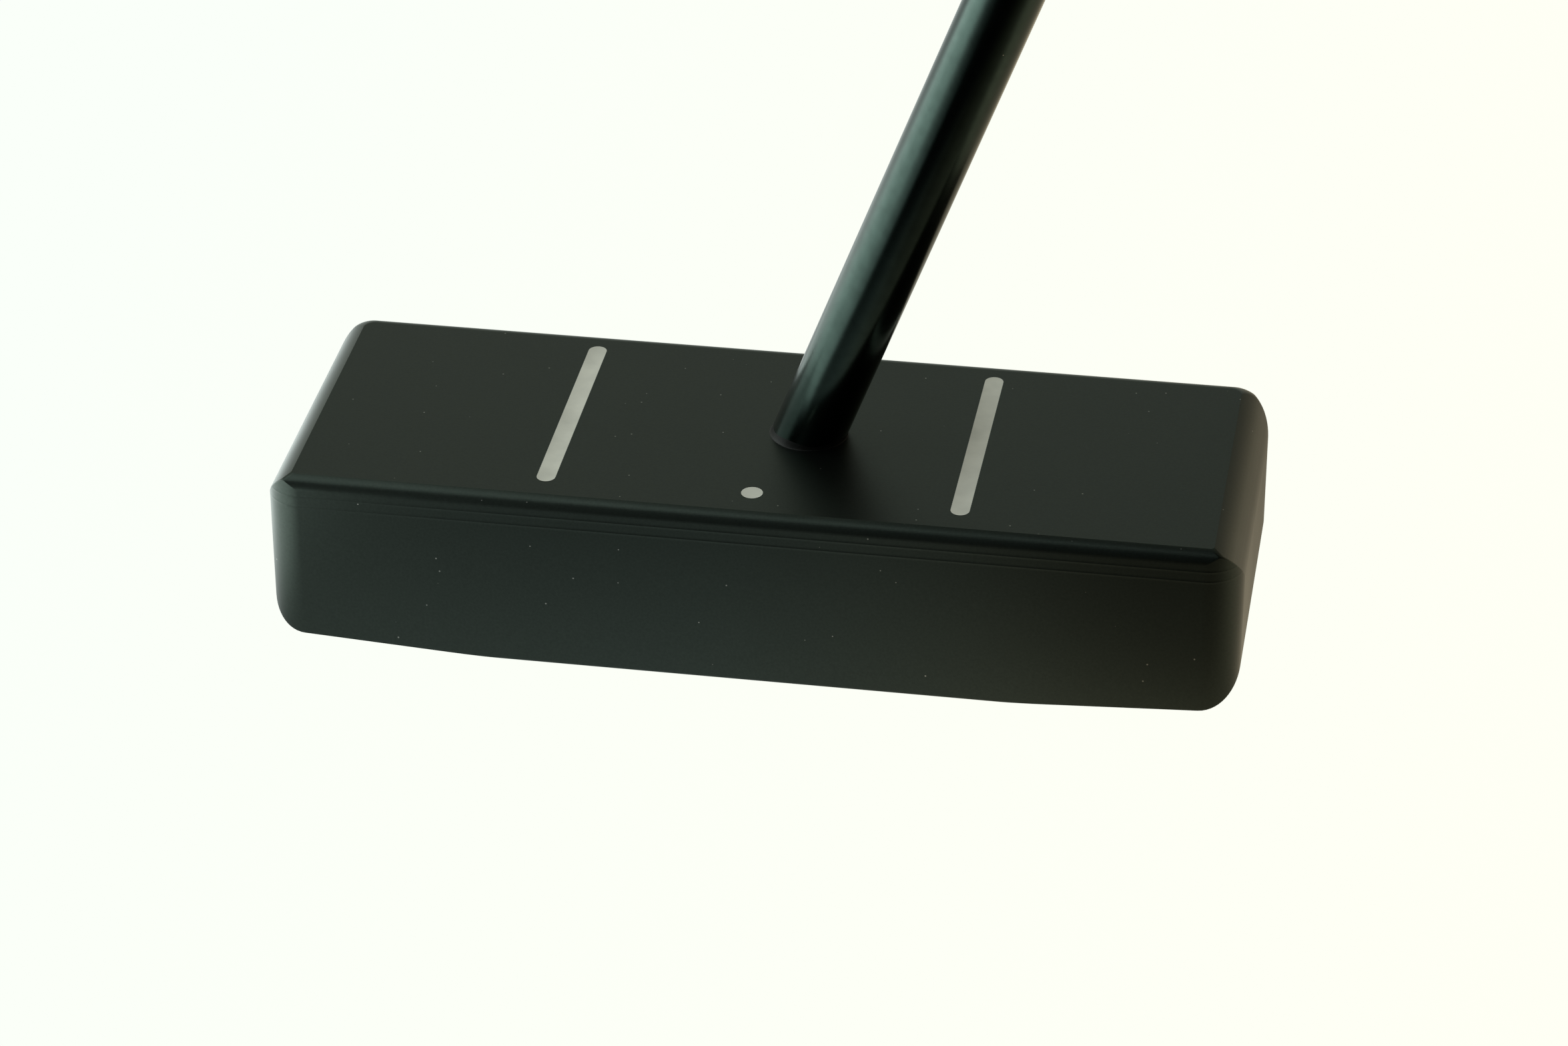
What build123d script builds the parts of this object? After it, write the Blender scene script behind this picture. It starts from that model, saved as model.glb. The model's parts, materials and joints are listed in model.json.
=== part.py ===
from build123d import *
import os
from math import cos, radians, sin, tan

# Centre-shafted block mallet putter: a one-piece head with filled sight marks in its top, a
# stepped tubular shaft bonded into the middle of the head, and a rubber grip taped to its butt.
# Millimetres and degrees. +X runs from toe to heel, the face looks along -Y and +Z is up.
# The origin is on the ground under the middle of the head, where the flat of the sole rests.

# Head block
head_length = 127.0         # toe end to heel end
head_depth = 43.7           # face to back, along the top
head_height = 24.6          # sole to top
face_loft = 2.0             # lean of the face back from upright
sole_flat = 64.0            # flat middle of the sole, toe to heel
sole_relief = 3.1           # rise of the sole from the flat to the toe and to the heel
sole_blend = 14.0           # radius between the flat and each relieved end
end_round = 6.65            # radius over the top of the toe and heel ends
end_crease = 25.0           # angle at which that round meets the flat top
end_sole_round = 4.7        # radius under the toe and heel ends
corner_round = 5.0          # upright corners, seen from above
face_edge_round = 1.7       # top of the face
back_edge_round = 2.0       # top of the back
leading_edge_round = 0.4    # bottom of the face
trailing_edge_round = 1.2   # bottom of the back

# Sight marks, milled into the top and filled flush
mark_depth = 0.8
line_spacing = 53.8         # middle to middle of the two lines
line_width = 2.45
line_face_gap = 4.35        # top of the face to the near end of a line
line_back_gap = 3.8         # far end of a line to the back
dot_diameter = 2.8
dot_setback = 5.7           # middle of the dot behind the top of the face

# Shaft and its bore in the head
lie = 69.0                  # shaft to the ground, leaning to the heel
bore_floor = 5.1            # metal left under the bore
glue_gap = 0.1              # bond line round the shaft
bead_width = 0.5            # bead of bond squeezed out on the top
bead_height = 0.45
bead_edge = 0.03            # thickness that the bead tapers to against the shaft
club_length = 864.0         # ground to the end of the grip, along the shaft
tip_diameter = 9.4          # parallel tip
tip_length = 230.0
tip_wall = 0.8
butt_diameter = 15.24
butt_wall = 0.38
step_count = 9              # equal steps from the tip to the butt
step_run = 1.6              # length of the taper at each step
bare_butt = 70.0            # parallel butt that shows below the grip
tip_plug_length = 12.0

# Grip, with its flat on the upper side of the shaft
grip_length = 267.0
grip_cap = 5.0              # closed end past the butt of the shaft
grip_mouth_bevel = 0.8      # bevel at the lower end
grip_cap_bevel = 2.6        # bevel at the upper end
grip_vent = 2.8             # air hole through the closed end
tape_thickness = 0.18
tape_setback = 4.0          # bare shaft between the mouth of the grip and the tape
# The grip's section, as shares of its half width
grip_flat_half = 0.8        # half of the flat, before its corners are rounded
grip_keel_half = 0.55       # half of the back
grip_flat_round = 0.4
grip_side_round = 1.2
grip_keel_round = 0.7
# Distance from the mouth as a share of the length, wall at the sides, wall at the flat and back
grip_walls = [(0.0, 2.0, 1.9), (0.35, 3.8, 3.7), (0.7, 5.5, 6.0), (1.0, 6.4, 7.7)]


def rounded_face(corners, rounds):
    """A closed outline with each corner rounded to its own radius."""
    return make_face(FilletPolyline(*corners, radius=rounds, close=True))


def prism(plane, corners, rounds, reach, direction=None):
    """A rounded outline drawn on a plane and carried past it to both sides."""
    return extrude(plane * rounded_face(corners, rounds), amount=reach, dir=direction, both=True)


# ---- Places worked out from the sizes -------------------------------------------------------
half_length = head_length / 2
half_depth = head_depth / 2
loft_run = head_height * tan(radians(face_loft))
face_foot = -half_depth - loft_run
shaft_way = Vector(cos(radians(lie)), 0, sin(radians(lie)))
bore_diameter = tip_diameter + 2 * glue_gap
bore_drop = head_height - bore_floor - bore_diameter / 2 * cos(radians(lie))
bore_depth = bore_drop / sin(radians(lie))
bore_mouth = Vector(head_height / 2 / tan(radians(lie)), 0, head_height)
shaft_seat = bore_mouth - shaft_way * bore_depth
# Local frame of the shaft: Z up the shaft from its seat, X out of the flat of the grip
shaft_frame = Plane(origin=shaft_seat, x_dir=(-shaft_way.Z, 0, shaft_way.X), z_dir=shaft_way)
ground_to_seat = shaft_seat.Z / shaft_way.Z
grip_end = club_length - ground_to_seat
grip_mouth = grip_end - grip_length
shaft_length = grip_end - grip_cap
step_pitch = (grip_mouth - bare_butt - tip_length) / step_count
grip_bore = butt_diameter + 2 * tape_thickness


def head_block():
    """The solid block: a front view, a side view and a top view, each rounded, that all hold."""
    rise = (half_length - sole_flat / 2) * tan(radians(sole_relief))
    crown = head_height + end_round * (1 - cos(radians(end_crease)))
    front_view = prism(
        Plane.XZ,
        [(-half_length, crown), (half_length, crown), (half_length, rise), (sole_flat / 2, 0),
         (-sole_flat / 2, 0), (-half_length, rise)],
        [end_round, end_round, end_sole_round, sole_blend, sole_blend, end_sole_round],
        head_depth,
    )
    side_view = prism(
        Plane.YZ,
        [(-half_depth, head_height), (half_depth, head_height), (half_depth, 0), (face_foot, 0)],
        [face_edge_round, back_edge_round, trailing_edge_round, leading_edge_round],
        head_length,
    )
    # The front corners lean with the face, and the back ones are upright
    face_corners = prism(
        Plane.XY,
        [(-half_length, face_foot), (half_length, face_foot), (half_length, head_depth),
         (-half_length, head_depth)],
        [corner_round] * 4,
        2 * head_height,
        (0, tan(radians(face_loft)), 1),
    )
    back_corners = prism(
        Plane.XY,
        [(-half_length, -head_depth), (half_length, -head_depth), (half_length, half_depth),
         (-half_length, half_depth)],
        [corner_round] * 4,
        2 * head_height,
    )
    return front_view & side_view & face_corners & back_corners


def sight_line(side):
    """The fill of one sight line, on the toe side (-1) or the heel side (+1)."""
    near = line_face_gap - half_depth
    far = half_depth - line_back_gap
    plane = Plane((side * line_spacing / 2, (near + far) / 2, head_height - mark_depth))
    outline = SlotOverall(far - near, line_width, rotation=90)
    return extrude(plane * outline, amount=mark_depth)


def sight_dot():
    """The fill of the round mark behind the middle of the face."""
    plane = Plane((0, dot_setback - half_depth, head_height - mark_depth))
    return extrude(plane * Circle(dot_diameter / 2), amount=mark_depth)


def rod(diameter, start, end):
    """A round solid on the shaft's axis, between two distances from the seat."""
    plane = Plane(origin=(0, 0, start))
    return shaft_frame * extrude(plane * Circle(diameter / 2), amount=end - start)


def shaft_tube():
    """The tube: a parallel tip, equal steps that grow the diameter, and a parallel butt."""
    stations = [(0, 0)]
    for step in range(1, step_count + 1):
        start = tip_length + (step - 1) * step_pitch
        stations += [(start, (step - 1) / step_count), (start + step_run, step / step_count)]
    stations.append((shaft_length, 1))
    outer = [(tip_diameter / 2 + share * (butt_diameter - tip_diameter) / 2, along)
             for along, share in stations]
    inner = [(radius - tip_wall + share * (tip_wall - butt_wall), along)
             for (radius, along), (_, share) in zip(outer, stations)]
    section = make_face(Polyline(*outer, *reversed(inner), close=True))
    return shaft_frame * revolve(Plane.XZ * section, Axis.Z)


def shaft_bond():
    """The bond: a sleeve in the bore and a bead that follows the tilted mouth of the bore."""
    half_minor = tip_diameter / 2
    half_major = half_minor / sin(radians(lie))
    lean = bead_height / tan(radians(lie))
    foot = Plane(bore_mouth) * Ellipse(half_major + bead_width, half_minor + bead_width)
    rim = Plane(bore_mouth + Vector(lean, 0, bead_height)) * Ellipse(
        half_major + bead_edge, half_minor + bead_edge)
    below_top = Box(head_length, head_depth, head_height,
                    align=(Align.CENTER, Align.CENTER, Align.MIN))
    sleeve = rod(bore_diameter, 0, 2 * bore_depth) & below_top
    return sleeve + loft([foot, rim], ruled=True) - rod(tip_diameter, 0, 2 * bore_depth)


def grip_outline(along, side_wall, flat_wall, inset=0.0):
    """A flat for the thumbs, two sides and a keel, all rounded; local X points out of the flat."""
    deep = grip_bore / 2 + flat_wall - inset
    half = grip_bore / 2 + side_wall - inset
    flat = grip_flat_half * half
    keel = grip_keel_half * half
    corners = [(deep, -flat), (deep, flat), (0, half), (-deep, keel), (-deep, -keel), (0, -half)]
    shares = [grip_flat_round, grip_flat_round, grip_side_round, grip_keel_round, grip_keel_round,
              grip_side_round]
    return Plane(origin=(0, 0, along)) * rounded_face(corners, [s * half for s in shares])


def grip_body():
    """The grip: smooth through its sections, bevelled at both ends, bored and vented."""
    (_, *mouth_walls), *middle, (_, *cap_walls) = grip_walls
    skin = [grip_outline(grip_mouth + grip_mouth_bevel, *mouth_walls)]
    skin += [grip_outline(grip_mouth + share * grip_length, *walls) for share, *walls in middle]
    skin.append(grip_outline(grip_end - grip_cap_bevel, *cap_walls))
    mouth = grip_outline(grip_mouth, *mouth_walls, inset=grip_mouth_bevel)
    cap = grip_outline(grip_end, *cap_walls, inset=grip_cap_bevel)
    solid = loft([mouth, skin[0]], ruled=True) + loft(skin) + loft([skin[-1], cap], ruled=True)
    hollow = rod(grip_bore, grip_mouth - 1, shaft_length) + rod(grip_vent, grip_mouth, grip_end + 1)
    return shaft_frame * solid - hollow


pieces = {
    "toe_sight_line": sight_line(-1),
    "heel_sight_line": sight_line(1),
    "sight_dot": sight_dot(),
    "shaft": shaft_tube(),
    "shaft_bond": shaft_bond(),
    "shaft_tip_plug": rod(tip_diameter - 2 * tip_wall, 0, tip_plug_length),
    "grip_tape": rod(grip_bore, grip_mouth + tape_setback, shaft_length)
    - rod(butt_diameter, grip_mouth, shaft_length),
    "grip": grip_body(),
}
marks = pieces["toe_sight_line"] + pieces["heel_sight_line"] + pieces["sight_dot"]
pieces["head_body"] = head_block() - marks - rod(bore_diameter, 0, 2 * bore_depth)

os.makedirs("parts", exist_ok=True)
for name, solid in pieces.items():
    export_step(solid, f"parts/{name}.step")
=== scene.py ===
"""The finish of a centre-shafted block mallet putter, built round its fixed CAD frame.

Everything is in metres in the frame's own axes: +X from toe to heel, the face towards -Y, +Z up.
"""

import json
from math import cos, pi, radians, sin, tan

import bmesh
import bpy
import numpy as np
from bpy.props import FloatProperty, FloatVectorProperty, IntProperty, PointerProperty
from mathutils import Matrix, Vector
from mathutils.geometry import tessellate_polygon


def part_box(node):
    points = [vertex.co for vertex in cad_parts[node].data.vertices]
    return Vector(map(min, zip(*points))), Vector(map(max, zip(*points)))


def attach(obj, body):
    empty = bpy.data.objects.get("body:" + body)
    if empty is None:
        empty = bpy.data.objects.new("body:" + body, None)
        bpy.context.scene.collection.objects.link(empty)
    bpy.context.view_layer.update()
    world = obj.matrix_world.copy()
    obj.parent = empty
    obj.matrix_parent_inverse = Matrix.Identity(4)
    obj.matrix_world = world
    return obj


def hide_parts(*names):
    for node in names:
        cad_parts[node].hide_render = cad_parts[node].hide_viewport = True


bl_info = {
    "name": "Block mallet putter",
    "version": (1, 0, 0),
    "blender": (4, 5, 0),
    "location": "View3D > Sidebar > Putter",
    "description": "Makes the head, sight marks, shaft, bond and grip of a block mallet putter",
    "category": "Add Mesh",
}

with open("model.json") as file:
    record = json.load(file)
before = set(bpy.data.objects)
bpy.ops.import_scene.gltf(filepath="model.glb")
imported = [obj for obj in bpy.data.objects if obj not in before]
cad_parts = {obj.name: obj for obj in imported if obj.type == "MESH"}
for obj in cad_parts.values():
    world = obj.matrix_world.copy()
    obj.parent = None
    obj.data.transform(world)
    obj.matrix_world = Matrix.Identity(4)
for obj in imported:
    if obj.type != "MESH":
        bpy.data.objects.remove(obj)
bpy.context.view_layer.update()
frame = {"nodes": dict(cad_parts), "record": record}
MM = 0.001
MERGE = 0.5e-6                  # points closer than this are one point
CREASE = radians(12)            # edges sharper than this stay sharp
SHAFT_COLUMNS = 96              # points round the shaft and round its bore

HEAD_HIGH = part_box("head_body")[1]
HALF_LENGTH = HEAD_HIGH.x
HALF_DEPTH = HEAD_HIGH.y
TOP = HEAD_HIGH.z
SHAFT_LOW, SHAFT_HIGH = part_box("shaft")
BUTT_RADIUS = SHAFT_HIGH.y
PLUG_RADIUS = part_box("shaft_tip_plug")[1].y
TAPE_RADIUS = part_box("grip_tape")[1].y

# The shaft's axis: from where it meets the ground, up through the middle of the grip
GRIP_MOUNT = next(m for m in frame["record"]["mounts"] if m["name"] == "grip_hold")
AXIS = np.array(GRIP_MOUNT["axis"], float) / np.linalg.norm(GRIP_MOUNT["axis"])
GROUND = np.array(GRIP_MOUNT["pos_m"]) - AXIS * GRIP_MOUNT["pos_m"][2] / AXIS[2]
UPPER = np.array((-AXIS[2], 0.0, AXIS[0]))      # out of the shaft's upper side
SIDE = np.array((0.0, -1.0, 0.0))               # out of its face side


# ---- Meshes ---------------------------------------------------------------------------------
def linear(hex_colour):
    """An sRGB hex colour as the linear red, green and blue that shaders take."""
    srgb = [int(hex_colour[i:i + 2], 16) / 255 for i in (1, 3, 5)]
    return tuple(c / 12.92 if c <= 0.04045 else ((c + 0.055) / 1.055) ** 2.4 for c in srgb)


def grid_faces(rows, columns, first=0, close_rows=False):
    """Quads over a grid numbered row by row, closed round its columns and, if asked, its rows."""
    r, c = np.meshgrid(np.arange(rows if close_rows else rows - 1), np.arange(columns),
                       indexing="ij")
    right, above = (c + 1) % columns, (r + 1) % rows
    corners = [r * columns + c, r * columns + right, above * columns + right, above * columns + c]
    return (np.stack(corners, -1).reshape(-1, 4) + first).tolist()


def make_piece(name, points, faces, material, stands_for):
    """A piece at the origin: doubles merged, smooth but for its creases, riding on the body."""
    mesh = bpy.data.meshes.new(name)
    mesh.from_pydata(np.asarray(points).tolist(), [], faces)
    work = bmesh.new()
    work.from_mesh(mesh)
    bmesh.ops.remove_doubles(work, verts=work.verts, dist=MERGE)
    work.to_mesh(mesh)
    work.free()
    mesh.shade_smooth()
    mesh.set_sharp_from_angle(angle=CREASE)
    mesh.materials.append(material)
    made = bpy.data.objects.new(name, mesh)
    bpy.context.scene.collection.objects.link(made)
    flats = made.modifiers.new("Flat faces shade flat", "WEIGHTED_NORMAL")
    flats.keep_sharp = True
    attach(made, "root")
    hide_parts(stands_for)


def round_inset(rise, radius):
    """How far a round of this radius has come in, at a rise above the height where it starts."""
    rise = np.clip(rise, 0, radius)
    return radius - np.sqrt(radius ** 2 - rise ** 2)


def turned(along, radius, angles):
    """Points round the shaft's axis: ground + along times axis + radius times a unit circle."""
    circle = np.cos(angles)[..., None] * UPPER + np.sin(angles)[..., None] * SIDE
    return GROUND + np.asarray(along)[..., None] * AXIS + np.asarray(radius)[..., None] * circle


# ---- Sizes and colours ----------------------------------------------------------------------
def length(name, description, millimetres):
    """A length property whose default is given in millimetres."""
    return FloatProperty(name=name, description=description, default=millimetres * MM, min=0,
                         unit="LENGTH", precision=5)


def angle(name, description, degrees):
    """An angle property whose default is given in degrees."""
    return FloatProperty(name=name, description=description, default=radians(degrees),
                         unit="ROTATION")


def colour(name, description, hex_colour):
    """A colour property whose default is an sRGB hex value."""
    return FloatVectorProperty(name=name, description=description, default=linear(hex_colour),
                               size=3, min=0, max=1, subtype="COLOR")


class PutterHeadSizes(bpy.types.PropertyGroup):
    """Rounds, slopes and fits of the head; its length, depth and height are the frame's."""
    face_loft: angle("Loft", "Lean of the face back from upright", 2.0)
    end_round: length("End round", "Radius over the top of the toe and heel ends", 6.65)
    end_crease: angle("End crease", "Angle at which the end round meets the flat top", 25.0)
    end_sole_round: length("End sole round", "Radius under the toe and heel ends", 4.7)
    face_corner: length("Face corner", "Radius of the upright corners of the face", 5.0)
    face_corner_ease: length("Face corner ease", "Softening of the edges over them", 0.5)
    back_corner: length("Back corner", "Radius of the upright corners of the back", 4.6)
    back_corner_ease: length("Back corner ease", "Softening of the edges over them", 1.7)
    face_edge: length("Face edge", "Radius along the top of the face", 2.05)
    face_crease: angle("Face crease", "Angle at which that round meets the flat top", 20.0)
    back_edge: length("Back edge", "Radius along the top of the back", 2.0)
    leading_edge: length("Leading edge", "Radius along the bottom of the face", 0.4)
    trailing_edge: length("Trailing edge", "Radius along the bottom of the back", 1.2)
    cusp_height: length("Cusp height", "Height of the fine lines the cutter left", 0.03)
    cusp_width: length("Cusp width", "Width of those lines", 0.35)
    sole_flat: length("Sole flat", "Length of the flat middle of the sole", 64.0)
    sole_relief: angle("Sole relief", "Rise of the sole to the toe and to the heel", 3.1)
    sole_blend: length("Sole blend", "Radius between the flat and the relieved sole", 14.0)
    bore_gap: length("Bond line", "Gap between the shaft and its bore", 0.1)
    fill_dish: length("Dish of the fill", "Sag of the cured fill in the middle of a mark", 0.05)


class PutterShaftSizes(bpy.types.PropertyGroup):
    """Sizes of the shaft and the bead of bond at its foot."""
    tip_diameter: length("Tip diameter", "Outside of the parallel tip", 9.4)
    tip_length: length("Tip length", "Parallel tip, from the seat to the first step", 230.0)
    butt_wall: length("Butt wall", "Wall of the tube under the grip", 0.38)
    bare_butt: length("Bare butt", "Parallel butt that shows below the grip", 70.0)
    steps: IntProperty(name="Steps", description="Equal steps from tip to butt", default=9, min=1)
    step_run: length("Step run", "Length of the swaged taper at each step", 1.6)
    bead_width: length("Bead width", "Reach of the bond's bead over the top of the head", 0.15)
    bead_height: length("Bead height", "Climb of the bond's bead up the shaft", 0.9)


class PutterGripSizes(bpy.types.PropertyGroup):
    """Sizes of the grip and its moulded pattern."""
    club_length: length("Club length", "Ground to the end of the grip, along the shaft", 864.0)
    grip_length: length("Grip length", "Mouth to cap", 267.0)
    cap: length("Cap", "Closed end past the butt of the shaft", 5.0)
    mouth_round: length("Mouth round", "Radius at the lower end", 0.8)
    cap_round: length("Cap round", "Radius at the upper end", 2.6)
    vent: length("Vent", "Diameter of the air hole in the cap", 2.8)
    groove_pitch: length("Groove pitch", "Spacing of the grooves across the flat", 7.0)
    groove_depth: length("Groove depth", "Depth of those grooves", 0.4)
    groove_width: length("Groove width", "Width of those grooves", 1.7)
    dimple_pitch: length("Dimple pitch", "Spacing of the dimples round the back", 4.6)
    dimple_depth: length("Dimple depth", "Depth of those dimples", 0.3)


class PutterColours(bpy.types.PropertyGroup):
    """Colours of the finishes."""
    anodised: colour("Anodised black", "Dyed oxide on the head", "#353b37")
    fill: colour("Mark fill", "Enamel in the sight marks", "#e5e2d8")
    shaft: colour("Shaft black", "Oxide on the shaft", "#303b37")
    bond: colour("Epoxy", "Cured bond at the foot of the shaft", "#070807")
    rubber: colour("Rubber", "Grip", "#1b1c1b")
    tape: colour("Tape", "Paper tape under the grip", "#cdbf9a")
    plug: colour("Plug", "Plastic plug in the tip", "#d9d8d2")


class PutterStageSettings(bpy.types.PropertyGroup):
    """Camera, light and backdrop."""
    azimuth: angle("Azimuth", "Camera's turn round the head from straight in front", 9.929)
    elevation: angle("Elevation", "Camera's angle above the horizon", 31.646)
    roll: angle("Roll", "Camera's tilt about its own line of sight", -0.510)
    distance: length("Distance", "Camera to the point it looks at", 608.0)
    aim: FloatVectorProperty(name="Aim", description="Point looked at, from the middle of the top",
                             default=(5.294 * MM, -22.811 * MM, 0), size=3, unit="LENGTH")
    lens: FloatProperty(name="Lens", description="Focal length in millimetres on a 36 mm sensor",
                        default=110.195)
    cool: colour("Cool white", "Backdrop at the toe side", "#fafff9")
    warm: colour("Warm white", "Backdrop at the heel side", "#fffff4")
    cool_light: colour("Cool light", "Light from the toe side", "#f4fffb")
    warm_light: colour("Warm light", "Light from the heel side", "#ffefcd")
    rear_light: colour("Rear light", "Light from behind", "#f6fff0")


# ---- Materials ------------------------------------------------------------------------------
MIX_A, MIX_B, MIX_RESULT = 6, 7, 2      # sockets of a Mix node that is set to colour
DUST = "#868681"                        # pale grey, as dust is on black


def add_node(tree, kind, inputs=None, **settings):
    """Adds a node, sets its properties, and gives its inputs a value or another node's output."""
    node = tree.nodes.new(kind)
    for name, value in settings.items():
        setattr(node, name, value)
    for name, source in (inputs or {}).items():
        if isinstance(source, bpy.types.NodeSocket):
            tree.links.new(source, node.inputs[name])
        else:
            node.inputs[name].default_value = source
    return node


def new_material(name):
    """An empty node material, its output and the object coordinates that its patterns read."""
    material = bpy.data.materials.new(name)
    material.use_nodes = True
    tree = material.node_tree
    tree.nodes.clear()
    output = add_node(tree, "ShaderNodeOutputMaterial")
    place = add_node(tree, "ShaderNodeTexCoord").outputs["Object"]
    return material, tree, output, place


def rgba(rgb):
    """Adds full opacity to a linear colour."""
    return (*rgb, 1.0)


def per_metre(millimetres):
    """The scale that gives a noise features of this size on coordinates in metres."""
    return 1 / (millimetres * MM)


def span(source, start, end, low=0.0, high=1.0):
    """The inputs with which a Map Range node turns start to end into low to high."""
    return {"Value": source, "From Min": start, "From Max": end, "To Min": low, "To Max": high}


def dusted(tree, place, clean):
    """A colour with grains of dust on it: three cells in ten of 2 mm hold a pale grain."""
    cells = add_node(tree, "ShaderNodeTexVoronoi", {"Vector": place, "Scale": per_metre(2)})
    chance = add_node(tree, "ShaderNodeSeparateColor", {"Color": cells.outputs["Color"]})
    lucky = add_node(tree, "ShaderNodeMath", {0: chance.outputs["Red"], 1: 0.7},
                     operation="GREATER_THAN")
    # Grains are 0.1 mm and less; drawn up to 0.25 mm so that they show
    size = add_node(tree, "ShaderNodeMapRange", span(cells.outputs["Distance"], 0.065, 0.045))
    grain = add_node(tree, "ShaderNodeMath", {0: lucky.outputs[0], 1: size.outputs["Result"]},
                     operation="MULTIPLY")
    mix = add_node(tree, "ShaderNodeMix",
                   {"Factor": grain.outputs[0], MIX_A: clean, MIX_B: rgba(linear(DUST))},
                   data_type="RGBA")
    return mix.outputs[MIX_RESULT]


def anodised_aluminium(shade):
    """Black anodised aluminium, bead-blasted, then dyed and sealed.

    The blasting spreads reflections into a soft sheen. The dyed oxide leaves them dim and
    neutral, with a faint cloudiness from the dye bath and a few grains of dust on top.
    """
    material, tree, output, place = new_material("black anodised aluminium, bead-blasted")
    # Cloudiness of the dye, about 18 mm across
    cloud = add_node(tree, "ShaderNodeTexNoise",
                     {"Vector": place, "Scale": per_metre(18), "Detail": 3.0})
    sheen = add_node(tree, "ShaderNodeMapRange", span(cloud.outputs["Fac"], 0, 1, 0.33, 0.43))
    # Blasted dimples are about 0.08 mm; drawn at 0.35 mm so that they show as a fine mottle
    grain = add_node(tree, "ShaderNodeTexNoise",
                     {"Vector": place, "Scale": per_metre(0.35), "Detail": 2.0})
    tone = add_node(tree, "ShaderNodeMapRange", span(grain.outputs["Fac"], 0, 1, 0.85, 1.15))
    dyed = add_node(tree, "ShaderNodeMix",
                    {"Factor": 1.0, MIX_A: rgba(shade), MIX_B: tone.outputs["Result"]},
                    data_type="RGBA", blend_type="MULTIPLY")
    base = dusted(tree, place, dyed.outputs[MIX_RESULT])
    bump = add_node(tree, "ShaderNodeBump", {"Height": grain.outputs["Fac"], "Strength": 0.06,
                                             "Distance": 0.05 * MM})
    surface = add_node(tree, "ShaderNodeBsdfPrincipled",
                       {"Base Color": base, "Roughness": sheen.outputs["Result"],
                        "Normal": bump.outputs["Normal"], "Metallic": 1.0})
    tree.links.new(surface.outputs["BSDF"], output.inputs["Surface"])
    return material


def enamel_fill(shade):
    """Pale grey enamel, flooded into the milled marks and wiped level: satin, a little blotchy."""
    material, tree, output, place = new_material("pale grey enamel fill")
    blot = add_node(tree, "ShaderNodeTexNoise",
                    {"Vector": place, "Scale": per_metre(5), "Detail": 4.0})
    tone = add_node(tree, "ShaderNodeMapRange", span(blot.outputs["Fac"], 0.3, 0.7, 0.86, 1.08))
    paint = add_node(tree, "ShaderNodeMix",
                     {"Factor": 1.0, MIX_A: rgba(shade), MIX_B: tone.outputs["Result"]},
                     data_type="RGBA", blend_type="MULTIPLY")
    surface = add_node(tree, "ShaderNodeBsdfPrincipled",
                       {"Base Color": paint.outputs[MIX_RESULT], "Roughness": 0.42})
    tree.links.new(surface.outputs["BSDF"], output.inputs["Surface"])
    return material


def blackened_steel(shade):
    """Black oxide on polished steel tube.

    The oxide turns the steel's reflections dark and faintly green. The polish under it spreads
    them a little, and handling leaves the sheen uneven.
    """
    material, tree, output, place = new_material("black oxide on steel tube")
    peel = add_node(tree, "ShaderNodeTexNoise",
                    {"Vector": place, "Scale": per_metre(1.6), "Detail": 2.0})
    tone = add_node(tree, "ShaderNodeMapRange", span(peel.outputs["Fac"], 0, 1, 0.8, 1.2))
    bump = add_node(tree, "ShaderNodeBump", {"Height": peel.outputs["Fac"], "Strength": 0.05,
                                             "Distance": 0.1 * MM})
    rub = add_node(tree, "ShaderNodeTexNoise",
                   {"Vector": place, "Scale": per_metre(9), "Detail": 4.0})
    gloss = add_node(tree, "ShaderNodeMapRange", span(rub.outputs["Fac"], 0, 1, 0.15, 0.25))
    oxide = add_node(tree, "ShaderNodeMix",
                     {"Factor": 1.0, MIX_A: rgba(shade), MIX_B: tone.outputs["Result"]},
                     data_type="RGBA", blend_type="MULTIPLY")
    base = dusted(tree, place, oxide.outputs[MIX_RESULT])
    surface = add_node(tree, "ShaderNodeBsdfPrincipled",
                       {"Base Color": base, "Roughness": gloss.outputs["Result"],
                        "Normal": bump.outputs["Normal"], "Metallic": 1.0})
    tree.links.new(surface.outputs["BSDF"], output.inputs["Surface"])
    return material


def cured_epoxy(shade):
    """Black two-part epoxy, wiped to a thin fillet round the shaft and cured to a dull satin."""
    material, tree, output, place = new_material("cured epoxy")
    ripple = add_node(tree, "ShaderNodeTexNoise", {"Vector": place, "Scale": per_metre(0.8)})
    bump = add_node(tree, "ShaderNodeBump", {"Height": ripple.outputs["Fac"], "Strength": 0.3,
                                             "Distance": 0.08 * MM})
    surface = add_node(tree, "ShaderNodeBsdfPrincipled",
                       {"Normal": bump.outputs["Normal"], "Base Color": rgba(shade),
                        "Roughness": 0.5, "IOR": 1.55, "Specular IOR Level": 0.25})
    tree.links.new(surface.outputs["BSDF"], output.inputs["Surface"])
    return material


def moulded_rubber(shade):
    """Black grip rubber straight from a blasted mould: matt, with a fine pebble."""
    material, tree, output, place = new_material("moulded grip rubber")
    # Mould pebble is about 0.2 mm; drawn at 0.5 mm so that it shows
    pebble = add_node(tree, "ShaderNodeTexVoronoi", {"Vector": place, "Scale": per_metre(0.5)})
    bump = add_node(tree, "ShaderNodeBump", {"Height": pebble.outputs["Distance"],
                                             "Strength": 0.25, "Distance": 0.08 * MM})
    wear = add_node(tree, "ShaderNodeTexNoise",
                    {"Vector": place, "Scale": per_metre(25), "Detail": 4.0})
    rough = add_node(tree, "ShaderNodeMapRange", span(wear.outputs["Fac"], 0, 1, 0.55, 0.72))
    surface = add_node(tree, "ShaderNodeBsdfPrincipled",
                       {"Roughness": rough.outputs["Result"], "Normal": bump.outputs["Normal"],
                        "Base Color": rgba(shade), "IOR": 1.52})
    tree.links.new(surface.outputs["BSDF"], output.inputs["Surface"])
    return material


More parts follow.
